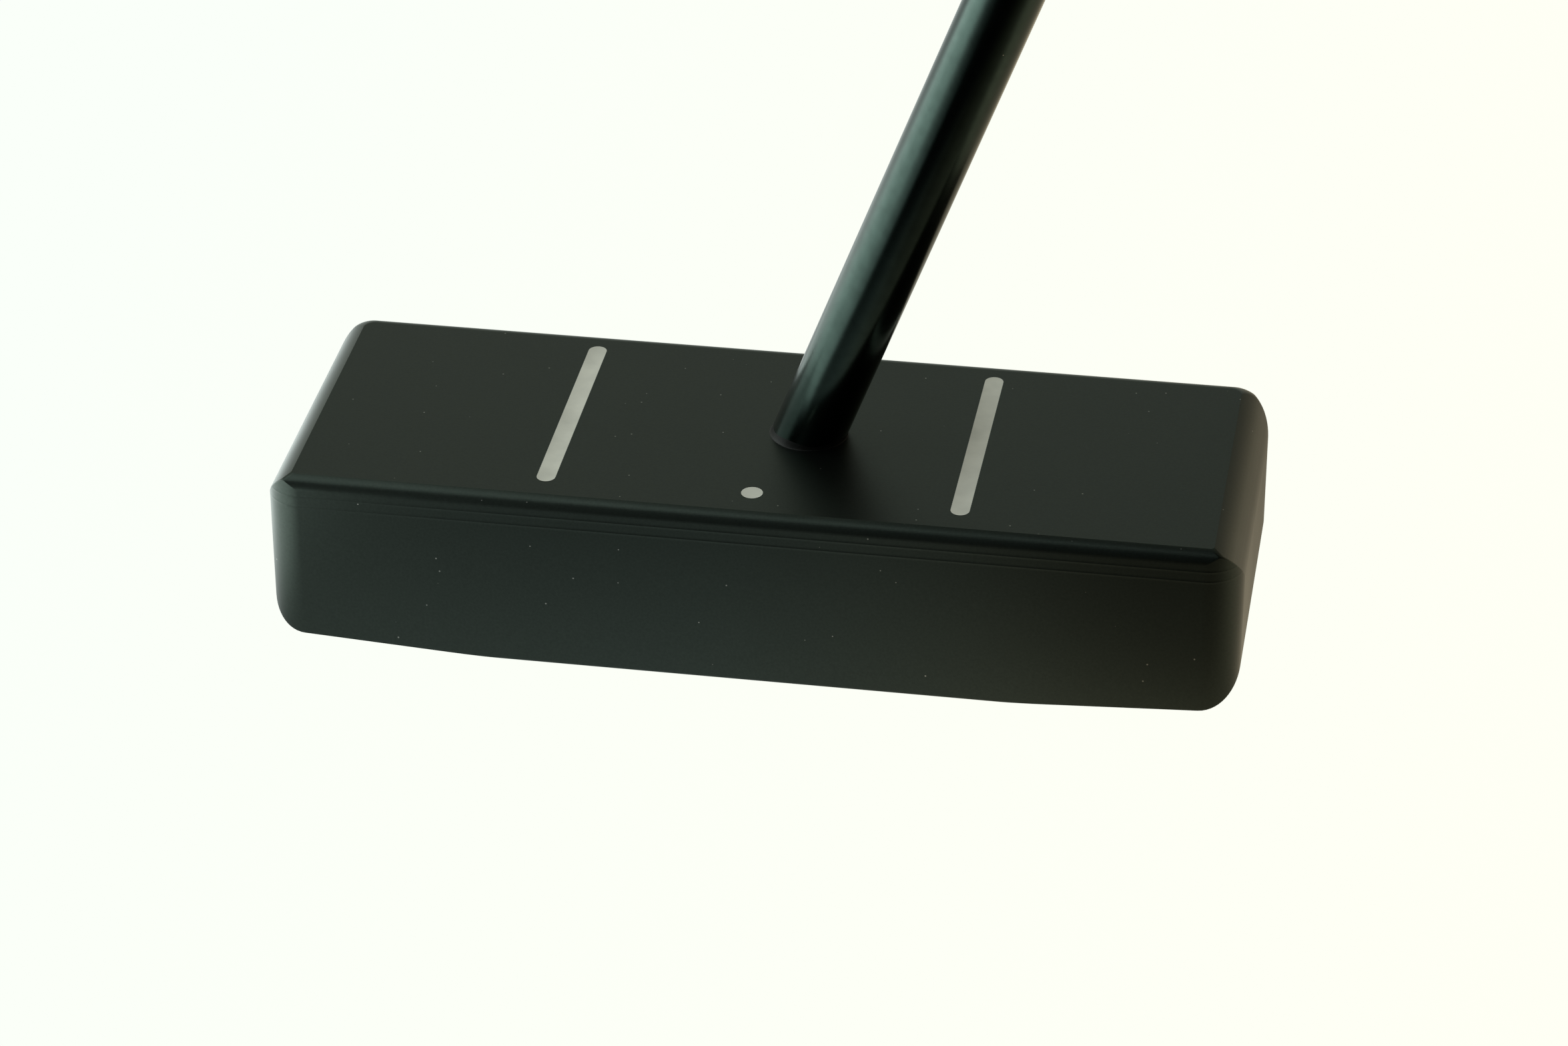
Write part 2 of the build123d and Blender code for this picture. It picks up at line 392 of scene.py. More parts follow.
def crepe_tape(shade):
    """Creped paper tape: matt and tan, with fine wrinkles across its length."""
    material, tree, output, place = new_material("creped paper tape")
    crepe = add_node(tree, "ShaderNodeTexWave",
                     {"Vector": place, "Scale": per_metre(4), "Distortion": 3.0},
                     bands_direction="Z")
    bump = add_node(tree, "ShaderNodeBump", {"Height": crepe.outputs["Fac"], "Strength": 0.4,
                                             "Distance": 0.05 * MM})
    surface = add_node(tree, "ShaderNodeBsdfPrincipled",
                       {"Normal": bump.outputs["Normal"], "Base Color": rgba(shade),
                        "Roughness": 0.85})
    tree.links.new(surface.outputs["BSDF"], output.inputs["Surface"])
    return material


def moulded_plug(shade):
    """Natural polyethylene plug: waxy, softly mottled."""
    material, tree, output, place = new_material("natural polyethylene")
    flow = add_node(tree, "ShaderNodeTexNoise", {"Vector": place, "Scale": per_metre(3)})
    rough = add_node(tree, "ShaderNodeMapRange", span(flow.outputs["Fac"], 0, 1, 0.4, 0.55))
    surface = add_node(tree, "ShaderNodeBsdfPrincipled",
                       {"Roughness": rough.outputs["Result"], "Base Color": rgba(shade),
                        "IOR": 1.51})
    tree.links.new(surface.outputs["BSDF"], output.inputs["Surface"])
    return material


# ---- Head -----------------------------------------------------------------------------------
# The CAD nodes of the marks' fill, and the names of the pieces that stand for them
MARKS = {"toe_sight_line": "toe_line_fill", "heel_sight_line": "heel_line_fill",
         "sight_dot": "dot_fill"}
# Drops below the top of the face at which two passes of the cutter left a fine raised line
CUSP_DROPS = (2.75 * MM, 4.2 * MM)
ROUND_STEPS = 16                # rings over each of the larger rounds
CLOSEST_RINGS = 0.004 * MM


def sole_round_heights(sizes):
    """Heights of the middle of the end's lower round, and of its foot on the relieved sole.

    The middle stands over the sole's slope by the radius over the cosine of the relief, and over
    the foot by the radius times that cosine.
    """
    run = HALF_LENGTH - sizes.end_sole_round - sizes.sole_flat / 2
    middle = run * tan(sizes.sole_relief) + sizes.end_sole_round / cos(sizes.sole_relief)
    return middle, middle - sizes.end_sole_round * cos(sizes.sole_relief)


def head_levels(sizes):
    """Heights of the head's rings: every round is cut at even angles, and the sides are even."""
    loft = sizes.face_loft
    turn = np.linspace(0, pi / 2, ROUND_STEPS)
    end_turn = np.linspace(0, pi / 2 - sizes.end_crease, ROUND_STEPS)
    face_turn = np.linspace(loft, pi / 2 - sizes.face_crease, ROUND_STEPS)
    sole_turn = np.linspace(sizes.sole_relief, pi / 2, ROUND_STEPS)
    sole_centre = sole_round_heights(sizes)[0]
    end_centre = TOP - sizes.end_round * cos(sizes.end_crease)
    levels = [
        sizes.sole_blend * (1 - np.cos(np.linspace(0, sizes.sole_relief, 4))),
        sizes.leading_edge * (1 + np.sin(np.linspace(-pi / 2, loft, 8))),
        sizes.trailing_edge * (1 - np.cos(turn)),
        sole_centre - sizes.end_sole_round * np.cos(sole_turn),
        np.linspace(sole_centre, end_centre, 10),
        end_centre + sizes.end_round * np.sin(end_turn),
        TOP - sizes.face_edge * (cos(sizes.face_crease) - np.sin(face_turn)),
        TOP - sizes.back_edge * (1 - np.sin(turn)),
        *(TOP - drop + sizes.cusp_width * np.linspace(-1, 1, 9) for drop in CUSP_DROPS),
    ]
    levels = np.unique(np.clip(np.concatenate(levels), 0, TOP))
    spaced = np.diff(levels, prepend=-1) > CLOSEST_RINGS
    spaced[-1] = True
    return levels[spaced]


def head_outline(z, sizes):
    """How far the end, the face and the back stand from the middle at each height.

    The end is the lesser of the relieved sole's slope and the side less its two rounds. The face
    is its leaning plane less its rounds, with the cutter's fine lines raised on it by the cusp's
    height times (1 - t) squared. The back is its upright plane less its rounds.
    """
    slope = tan(sizes.sole_relief)
    flat_end = sizes.sole_flat / 2 - sizes.sole_blend * tan(sizes.sole_relief / 2)
    blend_top = sizes.sole_blend * (1 - cos(sizes.sole_relief))
    sole_centre, relief_top = sole_round_heights(sizes)
    end_centre = TOP - sizes.end_round * cos(sizes.end_crease)
    end = HALF_LENGTH - round_inset(z - end_centre, sizes.end_round)
    end = end - round_inset(sole_centre - z, sizes.end_sole_round)
    end = np.where(z < relief_top, sizes.sole_flat / 2 + z / slope, end)
    below = np.clip(sizes.sole_blend - z, 0, sizes.sole_blend)
    blend = flat_end + np.sqrt(sizes.sole_blend ** 2 - below ** 2)
    end = np.where(z < blend_top, blend, end)

    loft = sizes.face_loft
    plane = HALF_DEPTH + (TOP - z) * tan(loft)
    for drop in CUSP_DROPS:
        off = np.clip(np.abs(z - TOP + drop) / sizes.cusp_width, 0, 1)
        plane = plane + sizes.cusp_height * (1 - off) ** 2
    upper, lower = sizes.face_edge, sizes.leading_edge
    upper_drop = upper * cos(sizes.face_crease)
    upper_centre = HALF_DEPTH + upper_drop * tan(loft) - upper / cos(loft)
    lower_centre = HALF_DEPTH + (TOP - lower) * tan(loft) - lower / cos(loft)
    over, under = z - (TOP - upper_drop), lower - z
    face = np.where(over > upper * sin(loft),
                    upper_centre + upper - round_inset(over, upper), plane)
    face = np.where(-under < lower * sin(loft),
                    lower_centre + lower - round_inset(np.abs(under), lower), face)
    back = (HALF_DEPTH - round_inset(z - (TOP - sizes.back_edge), sizes.back_edge)
            - round_inset(sizes.trailing_edge - z, sizes.trailing_edge))
    return end, plane, face, back


def corner_arc(end, side, limit, radius, ease, steps=24):
    """The corner of each ring, from the end round to the long side.

    A circle inside the end plane and the side plane is clipped where the rounds have brought
    those sides in, and its cut points are eased: each is a point of a circle of radius less ease,
    held between the two cuts, plus ease times the direction the surface faces. Where nothing of
    the circle is left, the two sides meet in the easing alone.
    """
    core = radius - ease
    from_end = np.arccos(np.clip(1 - (HALF_LENGTH - end) / core, 0, 1))[:, None]
    from_side = np.arcsin(np.clip(1 - (side - limit) / core, 0, 1))[:, None]
    met = from_end >= from_side
    turn = np.linspace(0, pi / 2, steps)
    held = np.clip(turn, from_end, np.maximum(from_side, from_end))
    x = np.where(met, end[:, None] - ease, HALF_LENGTH - ease - core * (1 - np.cos(held)))
    y = np.where(met, limit[:, None] - ease, side[:, None] - ease - core * (1 - np.sin(held)))
    return x + ease * np.cos(turn), y + ease * np.sin(turn)


def between(start, end, steps):
    """Points strictly between two columns of values, evenly spaced."""
    share = np.linspace(0, 1, steps + 2)[1:-1]
    return start[:, None] * (1 - share) + end[:, None] * share


def head_rings(z, sizes):
    """The head's rings, anticlockwise from the toe end of the face, as x and y per height."""
    end, plane, face, back = head_outline(z, sizes)
    x_face, y_face = corner_arc(end, plane, face, sizes.face_corner, sizes.face_corner_ease)
    x_back, y_back = corner_arc(end, np.full_like(z, HALF_DEPTH), back, sizes.back_corner,
                                sizes.back_corner_ease)
    long_steps, short_steps = 30, 10
    x_long_face = between(-x_face[:, -1], x_face[:, -1], long_steps)
    y_long_face = between(-y_face[:, -1], -y_face[:, -1], long_steps)
    x_end = between(x_face[:, 0], x_back[:, 0], short_steps)
    y_end = between(-y_face[:, 0], y_back[:, 0], short_steps)
    x_long_back = between(x_back[:, -1], -x_back[:, -1], long_steps)
    y_long_back = between(y_back[:, -1], y_back[:, -1], long_steps)
    x = [x_long_face, x_face[:, ::-1], x_end, x_back, x_long_back, -x_back[:, ::-1],
         -x_end[:, ::-1], -x_face]
    y = [y_long_face, -y_face[:, ::-1], y_end, y_back, y_long_back, y_back[:, ::-1],
         y_end[:, ::-1], -y_face]
    return np.concatenate(x, 1), np.concatenate(y, 1)


def mark_ring(node, share=1.0, steps=33):
    """A mark's outline: two half circles about the ends of its spine, scaled about the spine."""
    low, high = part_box(node)
    radius = (high.x - low.x) / 2
    reach = (high.y - low.y) / 2 - radius
    turn = np.linspace(0, pi, steps)
    x = radius * share * np.concatenate([np.cos(turn), -np.cos(turn)])
    y = radius * share * np.concatenate([np.sin(turn), -np.sin(turn)])
    y += np.repeat([reach, -reach], steps)
    return x + (low.x + high.x) / 2, y + (low.y + high.y) / 2, low.z


def along_at_height(height, radius, angles):
    """How far up the shaft's axis a line along a cylinder round it reaches a height."""
    return (height - radius * np.cos(angles) * UPPER[2]) / AXIS[2]


def seat_along():
    """How far up the axis the end of the shaft sits, from the lowest point of its rim."""
    tip_radius = bpy.context.scene.putter_shaft.tip_diameter / 2
    return (SHAFT_LOW.z + tip_radius * UPPER[2]) / AXIS[2]


def mark_pocket(node):
    """The rim of a mark's pocket in the top, and the ring of its floor."""
    x, y, bottom = mark_ring(node)
    floor = np.stack([x, y, np.full_like(x, bottom)], -1)
    return floor + [0, 0, TOP - bottom], floor


def bore_pocket(radius):
    """The bore's rim in the flat top, and its floor's ring, both round the shaft's axis."""
    angles = np.linspace(0, 2 * pi, SHAFT_COLUMNS, endpoint=False)
    around = np.full(SHAFT_COLUMNS, radius)
    rim = turned(along_at_height(TOP, radius, angles), around, angles)
    rim[:, 2] = TOP
    floor = turned(np.full(SHAFT_COLUMNS, seat_along()), around, angles)
    return rim, floor


def pierced_top(loops, numbers):
    """Triangles of a flat face between its outer loop and its holes, all facing up."""
    flat = np.concatenate(loops)
    triangles = np.array(tessellate_polygon([[Vector(p) for p in loop] for loop in loops]))
    a, b, c = (flat[triangles[:, i]] for i in range(3))
    facing_down = np.cross(b - a, c - a)[:, 2] < 0
    triangles[facing_down] = triangles[facing_down][:, ::-1]
    return np.concatenate(numbers)[triangles].tolist()


def head_mesh(sizes):
    """The block: rings at every level, a flat sole, and a flat top pierced by marks and bore."""
    z = head_levels(sizes)
    x, y = head_rings(z, sizes)
    rows, columns = x.shape
    skin = np.stack([x, y, np.repeat(z[:, None], columns, 1)], -1).reshape(-1, 3)
    points = [skin]
    faces = grid_faces(rows, columns)
    faces.append(list(range(columns))[::-1])
    top_ring = skin[-columns:]
    apart = np.linalg.norm(np.diff(top_ring, axis=0, prepend=top_ring[-1:]), axis=1) > MERGE
    loops = [top_ring[apart]]
    numbers = [(rows - 1) * columns + np.flatnonzero(apart)]
    count = rows * columns
    bore_radius = bpy.context.scene.putter_shaft.tip_diameter / 2 + sizes.bore_gap
    for rim, floor in (*map(mark_pocket, MARKS), bore_pocket(bore_radius)):
        steps = len(rim)
        points += [rim, floor]
        faces += grid_faces(2, steps, count)
        faces.append((np.arange(steps) + count + steps).tolist())
        loops.append(rim)
        numbers.append(np.arange(steps) + count)
        count += 2 * steps
    faces += pierced_top(loops, numbers)
    return np.concatenate(points), faces


class PUTTER_OT_head(bpy.types.Operator):
    """Make the head block in black anodised aluminium"""
    bl_idname = "putter.head"
    bl_label = "Head block"

    def execute(self, context):
        points, faces = head_mesh(context.scene.putter_head)
        finish = anodised_aluminium(context.scene.putter_colours.anodised)
        make_piece("head_block", points, faces, finish, "head_body")
        return {"FINISHED"}


# ---- Sight marks ----------------------------------------------------------------------------
def fill_mesh(node, dish):
    """One mark's fill, on straight sides and a flat bottom.

    Its top is the mark's outline shrunk towards its spine by a share, and it sags there by dish
    times one less share squared.
    """
    shares = np.concatenate([[0, 1], np.linspace(1, 0, 9)])
    rings = []
    for row, share in enumerate(shares):
        x, y, bottom = mark_ring(node, share)
        height = bottom if row < 2 else TOP - dish * (1 - share ** 2)
        rings.append(np.stack([x, y, np.full_like(x, height)], -1))
    points = np.concatenate(rings)
    return points, grid_faces(len(rings), len(rings[0]))


class PUTTER_OT_marks(bpy.types.Operator):
    """Fill the two sight lines and the dot with pale grey enamel"""
    bl_idname = "putter.marks"
    bl_label = "Sight marks"

    def execute(self, context):
        finish = enamel_fill(context.scene.putter_colours.fill)
        dish = context.scene.putter_head.fill_dish
        for node, name in MARKS.items():
            points, faces = fill_mesh(node, dish)
            make_piece(name, points, faces, finish, node)
        return {"FINISHED"}


# ---- Shaft ----------------------------------------------------------------------------------
def shaft_profile(shaft, grip):
    """The tube's wall as distances along the axis and radii, out and up, then in and down.

    Each step swells the radius by an equal share, along a cosine from one diameter to the next.
    """
    seat = seat_along()
    tip_radius = shaft.tip_diameter / 2
    end = grip.club_length - grip.cap
    butt_start = grip.club_length - grip.grip_length - shaft.bare_butt
    first = seat + shaft.tip_length
    pitch = (butt_start - first) / shaft.steps
    starts = first + pitch * np.arange(shaft.steps)
    t = np.linspace(0, 1, 9)
    swell = (1 - np.cos(pi * t)) / 2
    along = (starts[:, None] + shaft.step_run * t).ravel()
    share = ((np.arange(shaft.steps)[:, None] + swell) / shaft.steps).ravel()
    tip = np.linspace(seat, first, 24)[:-1]
    butt = np.linspace(along[-1], end, 24)[1:]
    along = np.concatenate([tip, along, butt])
    share = np.concatenate([np.zeros(len(tip)), share, np.ones(len(butt))])
    outer = tip_radius + share * (BUTT_RADIUS - tip_radius)
    wall = (tip_radius - PLUG_RADIUS) * (1 - share) + shaft.butt_wall * share
    return np.concatenate([along, along[::-1]]), np.concatenate([outer, (outer - wall)[::-1]])


class PUTTER_OT_shaft(bpy.types.Operator):
    """Make the stepped tubular shaft in black coated steel"""
    bl_idname = "putter.shaft"
    bl_label = "Shaft"

    def execute(self, context):
        scene = context.scene
        along, radius = shaft_profile(scene.putter_shaft, scene.putter_grip)
        angles = np.linspace(0, 2 * pi, SHAFT_COLUMNS, endpoint=False)
        points = turned(*np.broadcast_arrays(along[:, None], radius[:, None], angles))
        faces = grid_faces(len(along), SHAFT_COLUMNS, close_rows=True)
        finish = blackened_steel(scene.putter_colours.shaft)
        make_piece("stepped_shaft", points.reshape(-1, 3), faces, finish,
                   "shaft")
        return {"FINISHED"}


# ---- Bond -----------------------------------------------------------------------------------
def bond_mesh(shaft, gap):
    """The bead round the foot of the shaft, and the sleeve of bond below it in the bore's gap.

    The bead is a hollow curve: it goes out by (1 - t) squared of its width and up by t squared of
    its height. Both wander a little round the shaft, along two sines.
    """
    angles = np.linspace(0, 2 * pi, 160, endpoint=False)
    radius = shaft.tip_diameter / 2
    wander = 1 + 0.22 * np.sin(2 * angles + 0.6) + 0.14 * np.sin(5 * angles + 2.1)
    foot = turned(along_at_height(TOP, radius, angles), np.full_like(angles, radius), angles)
    outward = foot - [*(GROUND + AXIS * TOP / AXIS[2])[:2], TOP]
    outward[:, 0] *= AXIS[2] ** 2
    outward /= np.linalg.norm(outward, axis=1)[:, None]
    rings = []
    for t in np.linspace(0, 1, 9):
        reach = shaft.bead_width * wander * (1 - t) ** 2
        climb = shaft.bead_height * wander * t ** 2
        rings.append(foot + outward * reach[:, None] + AXIS * climb[:, None])
    seat = np.full_like(angles, seat_along())
    rings.append(turned(seat, np.full_like(angles, radius), angles))
    rings.append(turned(seat, np.full_like(angles, radius + gap), angles))
    rim = along_at_height(TOP, radius + gap, angles)
    rings.append(turned(rim, np.full_like(angles, radius + gap), angles))
    faces = grid_faces(len(rings), len(angles), close_rows=True)
    return np.concatenate(rings), faces


class PUTTER_OT_bond(bpy.types.Operator):
    """Make the epoxy in the bore and its bead round the foot of the shaft"""
    bl_idname = "putter.bond"
    bl_label = "Bond"

    def execute(self, context):
        scene = context.scene
        points, faces = bond_mesh(scene.putter_shaft, scene.putter_head.bore_gap)
        finish = cured_epoxy(scene.putter_colours.bond)
        make_piece("epoxy_bead", points, faces, finish, "shaft_bond")
        return {"FINISHED"}


# ---- Grip -----------------------------------------------------------------------------------
SKIN_PITCH = 0.6 * MM                   # between the rings of the patterned skin
SKIN_GAP = 0.2 * MM                     # from the round at either end to the first of them
ANGLES_ROUND = 180
DIMPLES_ROUND = 18
FLAT_POWER, BACK_POWER = 4.2, 2.5       # straightness of the flat's side and of the back's
PLAIN_MOUTH = (22 * MM, 30 * MM)        # the pattern fades in between these, from the mouth
PLAIN_CAP = (20 * MM, 28 * MM)          # and fades out between these, from the cap
# Distance from the mouth as a share of the length, wall at the sides, wall at the flat and back
GRIP_WALLS = np.array([(0.0, 2.0, 1.9), (0.35, 3.8, 3.7), (0.7, 5.5, 6.0), (1.0, 6.4, 7.7)])


def grip_radius(share, angles, inset):
    """The grip's reach at each angle: a flattened oval, |cos/deep|^n + |sin/half|^n = 1/reach^n.

    The power is high over the flat, so that it is nearly straight, and low round the back. The
    depth and half width follow a cubic through the walls of the four sections.
    """
    cubics = [np.polyfit(GRIP_WALLS[:, 0], GRIP_WALLS[:, i] * MM, 3) for i in (1, 2)]
    half, deep = (TAPE_RADIUS + np.polyval(cubic, share) - inset for cubic in cubics)
    power = np.where(np.cos(angles) > 0, FLAT_POWER, BACK_POWER)
    total = (np.abs(np.cos(angles)) / deep) ** power + (np.abs(np.sin(angles)) / half) ** power
    return total ** (-1 / power)


def smooth_step(value, low, high):
    """0 below low, 1 above high, and 3 t squared less 2 t cubed between."""
    t = np.clip((value - low) / (high - low), 0, 1)
    return t * t * (3 - 2 * t)


def grip_pattern(height, angles, grip):
    """How deep the mould's pattern is at each height above the mouth and each angle.

    Grooves cross the flat, each a half cosine wide. Round the back, dimples stand where two
    slanting cosines are both high. Both fade out before the ends.
    """
    facing = np.cos(angles)
    room = smooth_step(height, *PLAIN_MOUTH) * smooth_step(grip.grip_length - height, *PLAIN_CAP)
    offset = np.abs((height + grip.groove_pitch / 2) % grip.groove_pitch - grip.groove_pitch / 2)
    groove = np.cos(np.clip(offset / grip.groove_width, 0, 0.5) * pi)
    on_flat = smooth_step(facing, 0.8, 0.86)
    phase = 2 * pi * height / grip.dimple_pitch
    dimple = smooth_step(np.cos(phase) * np.cos(DIMPLES_ROUND * angles), 0.15, 0.9)
    on_back = 1 - smooth_step(facing, 0.3, 0.42)
    return room * (grip.groove_depth * groove * on_flat + grip.dimple_depth * dimple * on_back)


def grip_mesh(grip):
    """The grip as one closed loop of rings.

    It goes out round the mouth, up the patterned skin, in round the cap and across it, down the
    vent, out under the cap, and down the bore.
    """
    angles = np.linspace(0, 2 * pi, ANGLES_ROUND, endpoint=False)
    size, end = grip.grip_length, grip.club_length
    mouth = end - size
    quarter = np.linspace(0, pi / 2, 7)
    skin = np.arange(grip.mouth_round + SKIN_GAP, size - grip.cap_round - SKIN_GAP, SKIN_PITCH)
    height = np.concatenate([grip.mouth_round * (1 - np.cos(quarter)), skin,
                             size - grip.cap_round * (1 - np.sin(quarter))])[:, None]
    inset = np.concatenate([grip.mouth_round * (1 - np.sin(quarter)), np.zeros(len(skin)),
                            grip.cap_round * (1 - np.cos(quarter))])[:, None]
    around = np.broadcast_to(angles, (len(height), ANGLES_ROUND))
    reach = grip_radius(height / size, around, inset) - grip_pattern(height, around, grip)
    outside = turned(np.broadcast_to(mouth + height, reach.shape), reach, around)

    # Across the cap: shares of the way from the vent to the edge, and the drop of a fine groove
    vent = grip.vent / 2
    groove = 0.35 * MM
    face = [(0.92, 0), (0.82, 0), (0.72, 0), (0.7, groove), (0.64, groove), (0.62, 0), (0.4, 0),
            (0.2, 0), (0, 0)]
    inside = [(end - drop, vent + (reach[-1] - vent) * share) for share, drop in face]
    inside += [(end - grip.cap, vent), (end - grip.cap, TAPE_RADIUS), (mouth, TAPE_RADIUS)]
    rings = [turned(np.full_like(angles, along), np.broadcast_to(radius, angles.shape), angles)
             for along, radius in inside]
    points = np.concatenate([outside, rings])
    return points.reshape(-1, 3), grid_faces(len(points), ANGLES_ROUND, close_rows=True)


class PUTTER_OT_grip(bpy.types.Operator):
    """Make the moulded rubber grip"""
    bl_idname = "putter.grip"
    bl_label = "Grip"

    def execute(self, context):
        points, faces = grip_mesh(context.scene.putter_grip)
        finish = moulded_rubber(context.scene.putter_colours.rubber)
        make_piece("moulded_grip", points, faces, finish, "grip")
        return {"FINISHED"}


# ---- Hidden pieces --------------------------------------------------------------------------
class PUTTER_OT_hidden(bpy.types.Operator):
    """Give the tape under the grip and the plug in the tip their finishes"""
    bl_idname = "putter.hidden"
    bl_label = "Tape and plug"

    def execute(self, context):
        colours = context.scene.putter_colours
        for node, finish in (("grip_tape", crepe_tape(colours.tape)),
                             ("shaft_tip_plug", moulded_plug(colours.plug))):
            mesh = frame["nodes"][node].data
            mesh.materials.clear()
            mesh.materials.append(finish)
        return {"FINISHED"}


# ---- Stage ----------------------------------------------------------------------------------
FLOOR_REACH = 30.0
# Painted shadows of the head in the table's glow: middle, reach of the full shade, reach of its
# edge, light left
PAINTED_HEEL_SHADES = (((0.07, -0.07, 0), 0.025, 0.06, 0.4), ((0.07, 0.05, 0), 0.02, 0.085, 0.62))


def seen_and_given(tree, output, seen, given):
    """Shows one light to the camera and gives another to the object."""
    ray = add_node(tree, "ShaderNodeLightPath")
    mix = add_node(tree, "ShaderNodeMixShader",
                   {"Fac": ray.outputs["Is Camera Ray"], 1: given.outputs[0], 2: seen.outputs[0]})
    tree.links.new(mix.outputs["Shader"], output.inputs["Surface"])


def painted_table_glow(tree, place, stage):
    """The painted glow of the table: a painted pool of light, brightest in a wedge towards the
    lamp at its toe side.

    It dies away in front, where the table ends, and painted shadows of the head dim it at both
    sides of its heel.
    """
    spot = add_node(tree, "ShaderNodeSeparateXYZ", {"Vector": place})
    x, y = spot.outputs["X"], spot.outputs["Y"]

    # The painted pool's wedge swings its middle forward to the toe side, and its back edge is the
    # softer one
    ahead = add_node(tree, "ShaderNodeMath", {0: y, 1: 0.035}, operation="ADD")
    behind = add_node(tree, "ShaderNodeMath", {0: x, 1: -0.2, 2: ahead.outputs[0]},
                      operation="MULTIPLY_ADD")
    to_back = add_node(tree, "ShaderNodeMath", {0: behind.outputs[0], 1: 0.68},
                       operation="MULTIPLY")
    to_front = add_node(tree, "ShaderNodeMath", {0: behind.outputs[0], 1: -1.0},
                        operation="MULTIPLY")
    aside = add_node(tree, "ShaderNodeMath", {0: to_back.outputs[0], 1: to_front.outputs[0]},
                     operation="MAXIMUM")
    off_wedge = add_node(tree, "ShaderNodeMath", {0: x, 1: 0.35, 2: aside.outputs[0]},
                         operation="MULTIPLY_ADD")
    wedge = add_node(tree, "ShaderNodeMapRange", span(off_wedge.outputs[0], 0.15, -0.02),
                     interpolation_type="SMOOTHSTEP")

    # The painted pool of lamp light grows stronger from the toe end outwards, first fast and then
    # slowly
    near = add_node(tree, "ShaderNodeMapRange", span(x, -0.064, -0.095, 0, 2.3),
                    interpolation_type="SMOOTHSTEP")
    far = add_node(tree, "ShaderNodeMapRange", span(x, -0.1, -0.4, 0, 1.1),
                   interpolation_type="SMOOTHSTEP")
    lamp = add_node(tree, "ShaderNodeMath",
                    {0: near.outputs["Result"], 1: far.outputs["Result"]}, operation="ADD")

    # The rest of the table's painted glow: dark in front, and dimmed at two places by painted
    # shadows of the heel
    light = add_node(tree, "ShaderNodeMapRange", span(y, -0.14, 0.0, 0, 0.85),
                     interpolation_type="SMOOTHSTEP").outputs["Result"]
    for middle, core, edge, left in PAINTED_HEEL_SHADES:
        away = add_node(tree, "ShaderNodeVectorMath", {0: place, 1: middle}, operation="DISTANCE")
        shade = add_node(tree, "ShaderNodeMapRange", span(away.outputs["Value"], core, edge, left),
                         interpolation_type="SMOOTHSTEP")
        light = add_node(tree, "ShaderNodeMath", {0: light, 1: shade.outputs["Result"]},
                         operation="MULTIPLY").outputs[0]
    power = add_node(tree, "ShaderNodeMath",
                     {0: lamp.outputs[0], 1: wedge.outputs["Result"], 2: light},
                     operation="MULTIPLY_ADD")
    toe_side = add_node(tree, "ShaderNodeMapRange", span(x, 0.07, -0.02),
                        interpolation_type="SMOOTHSTEP")
    tint = add_node(tree, "ShaderNodeMix",
                    {"Factor": toe_side.outputs["Result"], MIX_A: rgba(stage.warm_light),
                     MIX_B: rgba(stage.cool_light)}, data_type="RGBA")
    return add_node(tree, "ShaderNodeEmission",
                    {"Color": tint.outputs[MIX_RESULT], "Strength": power.outputs[0]})


def make_floor(stage):
    """A white table: seen as clean white, and glowing onto the putter from below with a softer,
    painted light.
    """
    mesh = bpy.data.meshes.new("floor")
    mesh.from_pydata([(-FLOOR_REACH, -FLOOR_REACH, 0), (FLOOR_REACH, -FLOOR_REACH, 0),
                      (FLOOR_REACH, FLOOR_REACH, 0), (-FLOOR_REACH, FLOOR_REACH, 0)],
                     [], [(0, 1, 2, 3)])
    floor = bpy.data.objects.new("floor", mesh)
    bpy.context.scene.collection.objects.link(floor)
    material, tree, output, place = new_material("white table with painted glow")

    # White that turns from cool to warm over a quarter of a metre
    spot = add_node(tree, "ShaderNodeSeparateXYZ", {"Vector": place})
    share = add_node(tree, "ShaderNodeMapRange", span(spot.outputs["X"], -0.12, 0.12))
    white = add_node(tree, "ShaderNodeMix",
                     {"Factor": share.outputs["Result"], MIX_A: rgba(stage.cool),
                      MIX_B: rgba(stage.warm)}, data_type="RGBA")
    seen = add_node(tree, "ShaderNodeEmission",
                    {"Color": white.outputs[MIX_RESULT], "Strength": 1.0})
    # Every ray but the camera's sees the painted glow, with its painted pool of light and painted
    # shadows
    seen_and_given(tree, output, seen, painted_table_glow(tree, place, stage))
    mesh.materials.append(material)


